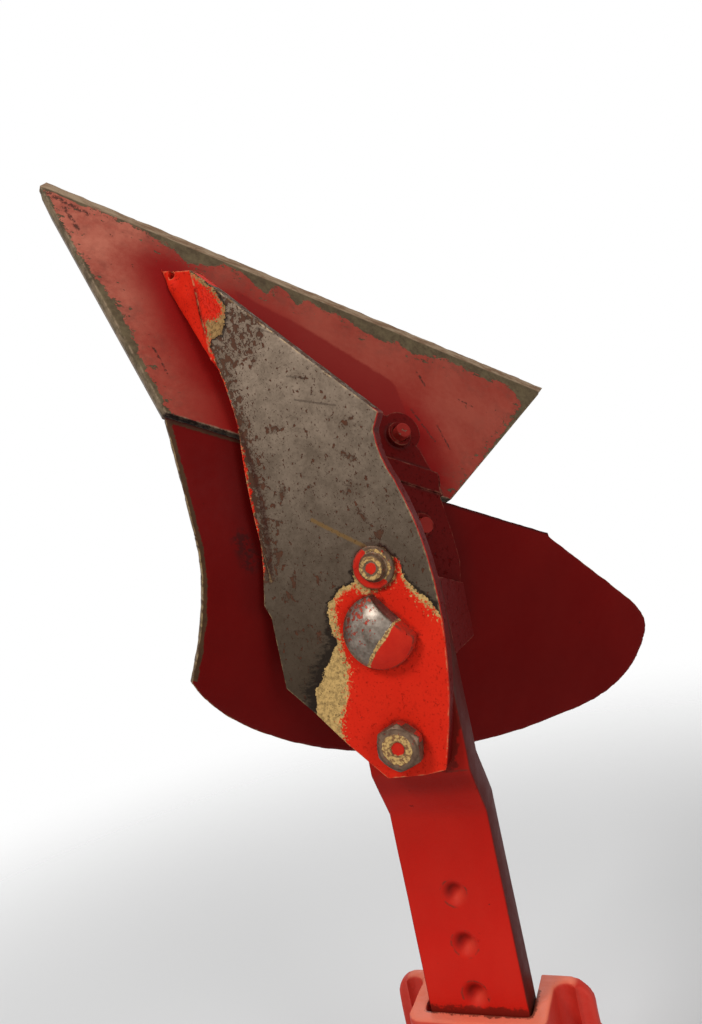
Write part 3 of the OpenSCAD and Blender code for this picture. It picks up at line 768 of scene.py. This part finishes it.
def bolt_material(name, dark, light, metallic, painted=0.0, back=None):
    """Bolt steel with as much old red paint as painted says, and only behind a back face if one is given."""
    made, t, shader = material(name)
    at = t.scaled(t.node("ShaderNodeTexCoord").outputs["Object"], 1000, 1000, 1000)
    steel = t.use("bare_steel", Place=at, Dark=dark, Light=light)
    pits = t.use("rust_pits", Place=at, Size=2.0, Amount=0.4)
    metal = t.layer(steel["Color"], PIT_BROWN, pits["Mask"], 0.8)
    mask = 0.0
    if painted > 0:
        mask = t.step(t.noise(at, 6, 5, 0.65), 0.66 - painted * 0.5, 0.7 - painted * 0.5)
    if back is not None:
        middle, normal = back @ Vector((0, 0, 0)), back.to_3x3() @ Vector(UPWARDS)
        front = t.vector("DOT_PRODUCT", t.vector("SUBTRACT", at, middle), normal, out="Value")
        mask = t.times(mask, t.step(front, 3.0, 1.0))
    red = t.mix(t.noise(at, 9, 3), rgb(112, 18, 14), rgb(150, 40, 30))
    color = t.mix(mask, metal, red)
    rough = t.plus(steel["Roughness"], 0.08)
    shiny = t.times(t.minus(1.0, mask), metallic)
    coat(t, shader, color, rough, shiny, t.plus(steel["Height"], mask), 0.25)
    return made


def patched_bolt_material(name, dark, light, metallic):
    """Bolt head with patches: its paint and primer numbers say where they lie."""
    made, t, shader = material(name)
    at = t.place()
    paint = t.use("ragged_area", Place=at, Depth=t.carried("paint"), Rag=1.3, Soft=0.2)
    primer = t.use("ragged_area", Place=t.shifted(at, 40, 0, 17), Depth=t.carried("primer"), Rag=1.3, Soft=0.2)
    steel = t.use("bare_steel", Place=at, Dark=dark, Light=light)
    specks = t.use("rust_pits", Place=at, Size=2.2, Amount=t.carried("rust"))
    metal = t.layer(steel["Color"], rgb(150, 44, 26), specks["Mask"], 0.85)
    old = t.mix(t.spotty(at, 1.6, 0.44, 0.6), CREAM, rgb(120, 86, 58))
    red = t.mix(t.noise(at, 8, 3), rgb(176, 22, 12), rgb(212, 48, 26))
    color = t.mix(paint["Mask"], t.mix(primer["Mask"], metal, old), red)
    color = t.layer(color, rgb(74, 54, 42), t.chips(at, 1.4, 4, 0.35, 0.55), 0.8)
    covered = t.larger(paint["Mask"], primer["Mask"])
    rough = t.plus(t.times(covered, 0.2), t.minus(steel["Roughness"], 0.12))
    shiny = t.times(t.minus(1.0, covered), metallic)
    height = t.plus(t.times(covered, 0.8), t.times(steel["Height"], 0.3))
    height = t.minus(height, t.times(specks["Mask"], 0.6))
    coat(t, shader, color, rough, shiny, height, 0.3)
    return made


def dress_share():
    along = [SHARE_FRAME.to_3x3() @ Vector(axis) for axis in (SIDEWAYS, BACKWARDS)]
    piece = fine_copy("share", step=2.6, bevel=0.7, directions=along)
    nearness(piece, ["frog"], limit=60.0)
    own = seen_from(SHARE_FRAME, millimetres(piece.data))
    place(piece, own)
    # Distances from the cutting edge, from the side at the toe and from the side at the heel
    along_edge, across, depth = own.T
    border = across - along_edge * EDGE_RISE
    toe = (along_edge - TOE_LEAN * (across - TOE_START)) / math.hypot(1, TOE_LEAN)
    heel = (SHARE_LENGTH - HEEL_LEAN * (across - HEEL_START) - along_edge) / math.hypot(1, HEEL_LEAN)
    wear = np.maximum(along_table(along_edge, EDGE_BAND) - border, along_table(across, TOE_BAND) - toe)
    wear = np.maximum(wear, along_table(across, HEEL_BAND) - heel)
    on_back = (depth < 0.4) & (border > -0.4)
    number(piece, "wear", np.where(on_back, wear, 12.0))
    number(piece, "ground", np.where(depth < SHARE_BEVEL_DEPTH, -border, -5.0))
    number(piece, "plate_shadow", inside(own[:, :2], PLATE_SHADOW_ON_SHARE))
    # The cutting edge and the heel corner are nicked and rounded by use
    edge = read(piece, "edge")
    unevenness(piece, "nicks", size=9, depth=1.6, weight=np.clip(1 - edge / 3.0, 0, 1) * (border < 2))
    finish_piece(piece, "share", "skimmer", share_material())


def dress_board():
    along = [BOARD_FRAME.to_3x3() @ Vector(axis) for axis in (SIDEWAYS, BACKWARDS)]
    piece = fine_copy("moldboard", step=3.0, bevel=0.7, directions=along)
    nearness(piece, ["frog", "stalk"], limit=40.0)
    points = millimetres(piece.data)
    own = seen_from(BOARD_FRAME, points)
    radius = np.hypot(own[:, 1], own[:, 2])
    place(piece, np.stack([own[:, 0], own[:, 1], BOARD_RADIUS - radius], 1))
    edge = read(piece, "edge")
    number(piece, "shin", np.where((own[:, 0] < SHIN_LENGTH) & (own[:, 1] < SHIN_WIDTH), edge, FAR))
    number(piece, "joint", np.clip((BOARD_JOINT - seen_from(SHARE_FRAME, points)[:, 1]) / 0.8, 0, 1))
    unevenness(piece, "board_nicks", size=8, depth=1.3, weight=np.clip(1 - edge / 2.5, 0, 1))
    finish_piece(piece, "moldboard", "skimmer", board_material())


def push(points, centre, radius, way):
    """Moves points near a place, most at its middle."""
    gap = np.linalg.norm(points - np.array(centre), axis=1)
    return points + np.exp(-(gap / radius) ** 2)[:, None] * np.array(way)


def plate_rust(flat, from_front):
    """How rusty the plate's face is: along its front, at the nose and in patches."""
    rust = np.clip(1.15 - from_front / 13.0, 0, 1) * np.where(flat[:, 1] > FRONT_STRIP[0], 1.0, 0.0)
    rust = np.maximum(rust, np.clip((inside(flat, NOSE_RUST) + 5) / 9, 0, 0.75))
    for x, height, length, width, lean in RUST_PATCHES:
        cosine, sine = math.cos(math.radians(lean)), math.sin(math.radians(lean))
        right, up = flat[:, 0] - x, flat[:, 1] - height
        gap = np.hypot((right * cosine + up * sine) / length, (up * cosine - right * sine) / width)
        rust = np.maximum(rust, np.clip(1.5 - gap, 0, 1))
    return rust


def dress_frog():
    piece = fine_copy("frog", step=2.2, bevel=0.8, directions=[SIDEWAYS, UPWARDS, BACKWARDS])
    nearness(piece, ["share", "moldboard", "pivot_bolt", "frog_bolt", "stop_bolt"], limit=20.0)
    points = millimetres(piece.data)
    x, behind, height = points[:, 0], points[:, 1] - PLATE_FACE, points[:, 2] - CLAMP_MIDDLE
    flat = np.stack([x, height], 1)
    on_face = behind < 0.7
    from_front = x - np.interp(height, [row[1] for row in PLATE_FRONT], [row[0] for row in PLATE_FRONT])
    strip = np.where((height > FRONT_STRIP[0]) & (height < FRONT_STRIP[1]), 0.7 - from_front, -FAR)
    paint = np.maximum(np.maximum(inside(flat, BOLT_PAINT), inside(flat, NOSE_PAINT)), strip)
    primer = np.maximum(np.maximum(inside(flat, BOLT_PRIMER), inside(flat, NOSE_PRIMER) - 1.6), strip - 3.0)
    # The plate's slanting upper edge is as bare as its face, the other sides are painted
    slant = (x + 62) * 0.75 + (height - 497) * 0.662
    bare_side = ~on_face & (np.abs(slant) < 3) & (behind < 11.2) & (x > -60) & (height > 402)
    off_face = np.where(bare_side, BARE, PAINTED)
    number(piece, "paint", np.where(on_face, paint, off_face))
    number(piece, "primer", np.where(on_face, primer, off_face))
    number(piece, "rust", np.where(bare_side, 0.9, plate_rust(flat, from_front) * on_face))
    number(piece, "shade", np.where(x > -45, np.clip((behind - 0.9) / 2, 0, 1), 0.0))
    place(piece, np.stack([x, behind, height], 1))
    for centre, radius, way in NOSE_LUMPS:
        points = push(points, centre, radius, way)
    move_to(piece.data, points)
    unevenness(piece, "cast_skin", size=10, depth=0.7, weight=np.where(on_face, 0.25, 1.0))
    finish_piece(piece, "frog", "skimmer", frog_material())


def dress_stalk():
    piece = fine_copy("stalk", step=4.0, bevel=1.2, directions=[SIDEWAYS, UPWARDS])
    nearness(piece, ["strap", "frog"], limit=20.0)
    points = millimetres(piece.data)
    place_by_stalk(piece, points)
    x, y, z = points[:, 0], points[:, 1] - STALK_FACE, points[:, 2] - CLAMP_MIDDLE
    inside_strap = np.abs(z) < STRAP_TOP - CLAMP_MIDDLE - 5
    number(piece, "near", np.where(inside_strap, 20.0, read(piece, "near")))
    number(piece, "shade", np.clip(x - STALK_FLAT, 0, 1) + np.clip(-STALK_FLAT - x, 0, 0.4))
    # Painted shade in the upper left of the dimples, on the joggle and below the frog's foot; painted highlight in the
    # lower right of the dimples
    dent = np.clip(y / 3.0, 0, 1) * (y < 6) * (z < 140) * (np.abs(x) < 9)
    from_middle = (z + DIMPLE_PITCH / 2) % DIMPLE_PITCH - DIMPLE_PITCH / 2
    upper = np.clip(0.5 + (from_middle - x) / 9, 0.1, 1)
    joggle = np.exp(-((z - JOGGLE_HEIGHT) / 15) ** 2) * (y < 2) * 0.75
    under_frog = np.clip((z - 90) / 110, 0, 1) * 0.55 * (np.abs(x) < STALK_FLAT + 0.5)
    number(piece, "grime_and_shade", np.maximum(np.maximum(dent * upper, joggle), under_frog))
    number(piece, "dimple_highlight", dent * np.clip(0.9 - 1.6 * upper, 0, 1))
    unevenness(piece, "rolled_bar", size=30, depth=0.4)
    finish_piece(piece, "stalk", "skimmer", stalk_material())


def dress_clamp(paint):
    strap = fine_copy("strap", step=1.4, bevel=4.0)
    nearness(strap, ["stalk", "bracket"], limit=20.0)
    points = millimetres(strap.data)
    place_by_stalk(strap, points)
    # How far a point lies on the strap's top face, which the paint shows lighter as a painted highlight
    number(strap, "top", np.clip((points[:, 2] - STRAP_TOP + 1.4) / 1.2, 0, 1))
    unevenness(strap, "forged_strap", size=12, depth=0.5)
    finish_piece(strap, "strap", "clamp", paint)

    bracket = fine_copy("bracket", step=4.0, bevel=1.4, directions=[SIDEWAYS, UPWARDS])
    nearness(bracket, ["stalk", "strap"], limit=20.0)
    points = millimetres(bracket.data)
    place_by_stalk(bracket, points)
    number(bracket, "top", np.zeros(len(points)))
    unevenness(bracket, "cut_plate", size=20, depth=0.3)
    finish_piece(bracket, "bracket", "clamp", paint)


def pivot_patches(flat, y):
    """Polished on the upper left, paint left on the lower right."""
    across = flat[:, 0] * 0.72 - flat[:, 1] * 0.69
    return across - 6.5, across - 4.6


def hex_patches(flat, y):
    """Paint in the head's dent and on its upper sides, primer in a ring on its face."""
    radius = np.hypot(flat[:, 0], flat[:, 1])
    face = y < -8.0
    paint = np.where(face, 3.9 - radius, np.where(flat[:, 1] > 2.0, 0.6, -1.2))
    primer = np.where(face, 2.6 - np.abs(radius - 6.0), -3.0)
    return paint, primer


def stop_patches(flat, y):
    """Paint in the middle and on the lower left of the outer ring, primer in rings."""
    radius = np.hypot(flat[:, 0], flat[:, 1])
    face, outer = y < -5.0, radius > 8.2
    lower_left = -flat[:, 0] * 0.8 - flat[:, 1] * 0.4
    on_ring = lower_left + 1.5 - 0.2 * np.abs(radius - 10.5)
    paint = np.where(face, 3.0 - radius, np.where(outer, on_ring, -2.0))
    primer = np.where(face, 1.2 - np.abs(radius - 5.6), np.where(outer, 0.9 - np.abs(radius - 9.2), -1.5))
    return paint, primer


def dress_bolt(node, middle, patches, rust, steel):
    """A bolt whose head shows: patches gives paint and primer depths, and rust is a number or a function."""
    piece = fine_copy(node, step=1.4, bevel=0.7, directions=[SIDEWAYS, UPWARDS])
    points = millimetres(piece.data)
    flat = np.stack([points[:, 0] - middle[0], points[:, 2] - CLAMP_MIDDLE - middle[1]], 1)
    behind = points[:, 1] - PLATE_FACE
    place(piece, np.stack([flat[:, 0], behind, flat[:, 1]], 1))
    paint, primer = patches(flat, behind)
    number(piece, "paint", paint)
    number(piece, "primer", primer)
    number(piece, "rust", rust(flat))
    finish_piece(piece, node, "skimmer", steel)


def even_rust(amount):
    return lambda flat: np.full(len(flat), amount)


def upper_left_rust(flat):
    return np.clip(0.35 + (flat[:, 1] - flat[:, 0]) / 60, 0.1, 0.75)


def dress_seen_bolts():
    dress_bolt("pivot_bolt", PIVOT_MIDDLE, pivot_patches, upper_left_rust,
               patched_bolt_material("pivot_bolt_steel", rgb(84, 72, 62), rgb(150, 138, 126), 0.85))
    dress_bolt("frog_bolt", FROG_BOLT_MIDDLE, hex_patches, even_rust(0.4),
               patched_bolt_material("frog_bolt_steel", rgb(84, 62, 50), rgb(128, 104, 84), 0.4))
    dress_bolt("stop_bolt", STOP_MIDDLE, stop_patches, even_rust(0.45),
               patched_bolt_material("stop_bolt_steel", rgb(70, 52, 42), rgb(120, 96, 74), 0.4))


def dress_plain_bolts():
    """Bolts and nuts that keep their CAD shape and only get round edges and steel."""
    board_back = BOARD_FRAME @ frame_of((0, 0, 0), [("X", BOARD_BOLTS_LEAN)]) @ frame_of((0, 0, -BOARD_RADIUS), [])
    share_bolt = bolt_material("share_bolt_steel", *BLADE_BOLT_STEEL, 0.3, painted=0.62, back=SHARE_FRAME)
    board_bolt = bolt_material("mold_bolt_steel", *BLADE_BOLT_STEEL, 0.3, painted=0.62, back=board_back)
    plain = bolt_material("plain_bolt", rgb(74, 62, 54), rgb(136, 124, 112), 0.7)
    rusty = bolt_material("rusty_nut", rgb(70, 48, 36), rgb(116, 84, 62), 0.4, painted=0.45)
    steels = {"share_bolts": share_bolt, "mold_bolts": board_bolt, "pivot_nut": rusty, "frog_nut": rusty,
              "stop_nut": rusty, "set_screw": plain, "lock_nut": plain, "strap_bolts": plain}
    for node, steel in steels.items():
        solid = frame["nodes"][node]
        solid.data.materials.clear()
        solid.data.materials.append(steel)
        weld = solid.modifiers.new("weld", "WELD")
        weld.merge_threshold = DOUBLES
        bevel = solid.modifiers.new("bevel", "BEVEL")
        bevel.width = 0.0005
        bevel.segments = 2
        bevel.limit_method = "ANGLE"
        bevel.angle_limit = math.radians(35)
        bevel.use_clamp_overlap = False


def set_floor():
    bpy.ops.mesh.primitive_circle_add(vertices=96, radius=1.6, fill_type="NGON", location=(0, 0, -0.0462))
    floor = bpy.context.object
    floor.name = "floor"
    bpy.ops.object.transform_apply(location=True)
    made, t, shader = material("pale_floor")
    shader.inputs["Base Color"].default_value = (0.8, 0.8, 0.8, 1)
    shader.inputs["Roughness"].default_value = 0.9
    far = t.vector("LENGTH", t.node("ShaderNodeTexCoord").outputs["Object"], out="Value")
    clear = t.node("ShaderNodeBsdfTransparent").outputs[0]
    blend = t.node("ShaderNodeMixShader", {0: t.step(far, 0.5, 1.5), 1: shader.outputs[0], 2: clear})
    t.feed(made.node_tree.nodes["Material Output"].inputs[0], blend.outputs[0])
    floor.data.materials.append(made)


def set_lamp(name, position, aim, size, power):
    data = bpy.data.lights.new(name, "AREA")
    data.shape = "DISK"
    data.size = size
    data.energy = power
    lamp = bpy.data.objects.new(name, data)
    lamp.location = position
    lamp.rotation_euler = (Vector(aim) - Vector(position)).to_track_quat("-Z", "Y").to_euler()
    bpy.context.scene.collection.objects.link(lamp)


def set_light():
    """A white background that lights weakly, and four lamps."""
    world = bpy.data.worlds.new("studio")
    bpy.context.scene.world = world
    world.use_nodes = True
    t = Tree(world.node_tree)
    ray = t.node("ShaderNodeLightPath").outputs
    seen = t.larger(ray["Is Camera Ray"], t.larger(ray["Is Glossy Ray"], ray["Is Transmission Ray"]))
    back = world.node_tree.nodes["Background"]
    back.inputs["Color"].default_value = (1, 1, 1, 1)
    t.feed(back.inputs["Strength"], t.plus(0.28, t.times(seen, 0.72)))
    set_lamp("key", (-0.5, -1.2, 1.5), (0, -0.05, 0.45), size=0.5, power=15)
    set_lamp("above", (0.1, -0.3, 2.2), (0, 0, 0.4), size=0.8, power=8)
    set_lamp("fill", (1.2, -1.0, 0.6), (0, 0, 0.45), size=0.6, power=7)
    set_lamp("behind", (-0.6, 1.8, 1.1), (0, 0, 0.4), size=0.8, power=9)


def set_camera():
    """The camera solved from the photo, level and rolled by 12 degrees."""
    data = bpy.data.cameras.new("camera")
    data.lens = 26.72
    data.sensor_width = 36
    camera = bpy.data.objects.new("camera", data)
    bpy.context.scene.collection.objects.link(camera)
    camera.matrix_world = frame_of((0.15724, -0.46377, 0.459), [("Z", 22.5), ("X", 90), ("Z", -12)])
    bpy.context.scene.camera = camera


for build in (build_ragged_area, build_rust_pits, build_dusty, build_bare_steel, build_scoured_steel, build_scratch):
    build()
dress_share()
dress_board()
dress_frog()
dress_stalk()
dress_clamp(clamp_material())
dress_seen_bolts()
dress_plain_bolts()
set_floor()
set_light()
set_camera()
bpy.context.scene.view_settings.view_transform = "Standard"
